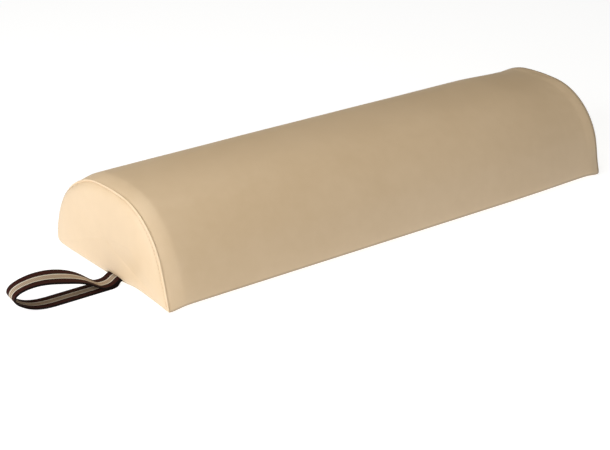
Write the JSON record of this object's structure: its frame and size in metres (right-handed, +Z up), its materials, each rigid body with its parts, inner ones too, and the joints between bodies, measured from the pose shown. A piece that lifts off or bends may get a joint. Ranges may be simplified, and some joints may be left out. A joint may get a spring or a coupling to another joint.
{
  "type": "bolster pillow",
  "caption": "Half-round massage bolster with a flat base, padded leather-look cover, piped ends, a base zip and a webbing carry loop.",
  "frame": {"origin": "centre of the flat base, midway between the two end seams", "axes": "+X along the bolster, away from the handle; +Z up from the base; -Y the side the picture is taken from"},
  "size_m": [0.8009, 0.2384, 0.1098],
  "materials": {
    "foam": "matte",
    "wadding": "matte",
    "leather_top": "satin",
    "leather_end": "satin",
    "leather_base": "satin",
    "leather_piping": "satin",
    "piping_cord": "matte",
    "zip_tape": "matte",
    "zip_coil": "satin",
    "zip_metal": "satin",
    "webbing": "matte",
    "lining": "matte",
    "thread": "satin"
  },
  "bodies": {
    "cushion": {"foam_core": "foam", "wadding_wrap": "wadding", "top_panel": "leather_top", "end_panel_handle": "leather_end", "end_panel_plain": "leather_end", "base_panel_front": "leather_base", "base_panel_rear": "leather_base", "piping_handle_end": "leather_piping", "piping_plain_end": "leather_piping", "piping_cord_handle_end": "piping_cord", "piping_cord_plain_end": "piping_cord", "zip_tape_front": "zip_tape", "zip_tape_rear": "zip_tape", "zip_coil_front": "zip_coil", "zip_coil_rear": "zip_coil", "zip_top_stops": "zip_metal", "zip_bottom_stop": "zip_metal", "handle_tails": "webbing", "handle_patch": "lining", "handle_bartacks": "thread"},
    "handle": {"handle_loop": "webbing"},
    "zip_slider": {"zip_slider": "zip_metal"},
    "zip_pull": {"zip_pull": "zip_metal"}
  },
  "joints": [
    {"name": "handle_hinge", "type": "hinge", "parent": "cushion", "child": "handle", "pos_m": [-0.3334, -0.0125, 0.0052], "axis": [0, 1, 0], "range_deg": [0, 60]},
    {"name": "zip_slide", "type": "slide", "parent": "cushion", "child": "zip_slider", "axis": [-1, 0, 0], "range_m": [0, 0.5]},
    {"name": "zip_pull_hinge", "type": "hinge", "parent": "zip_slider", "child": "zip_pull", "pos_m": [0.251, 0.056, 0.002], "axis": [0, -1, 0], "range_deg": [0, 150]}
  ]
}
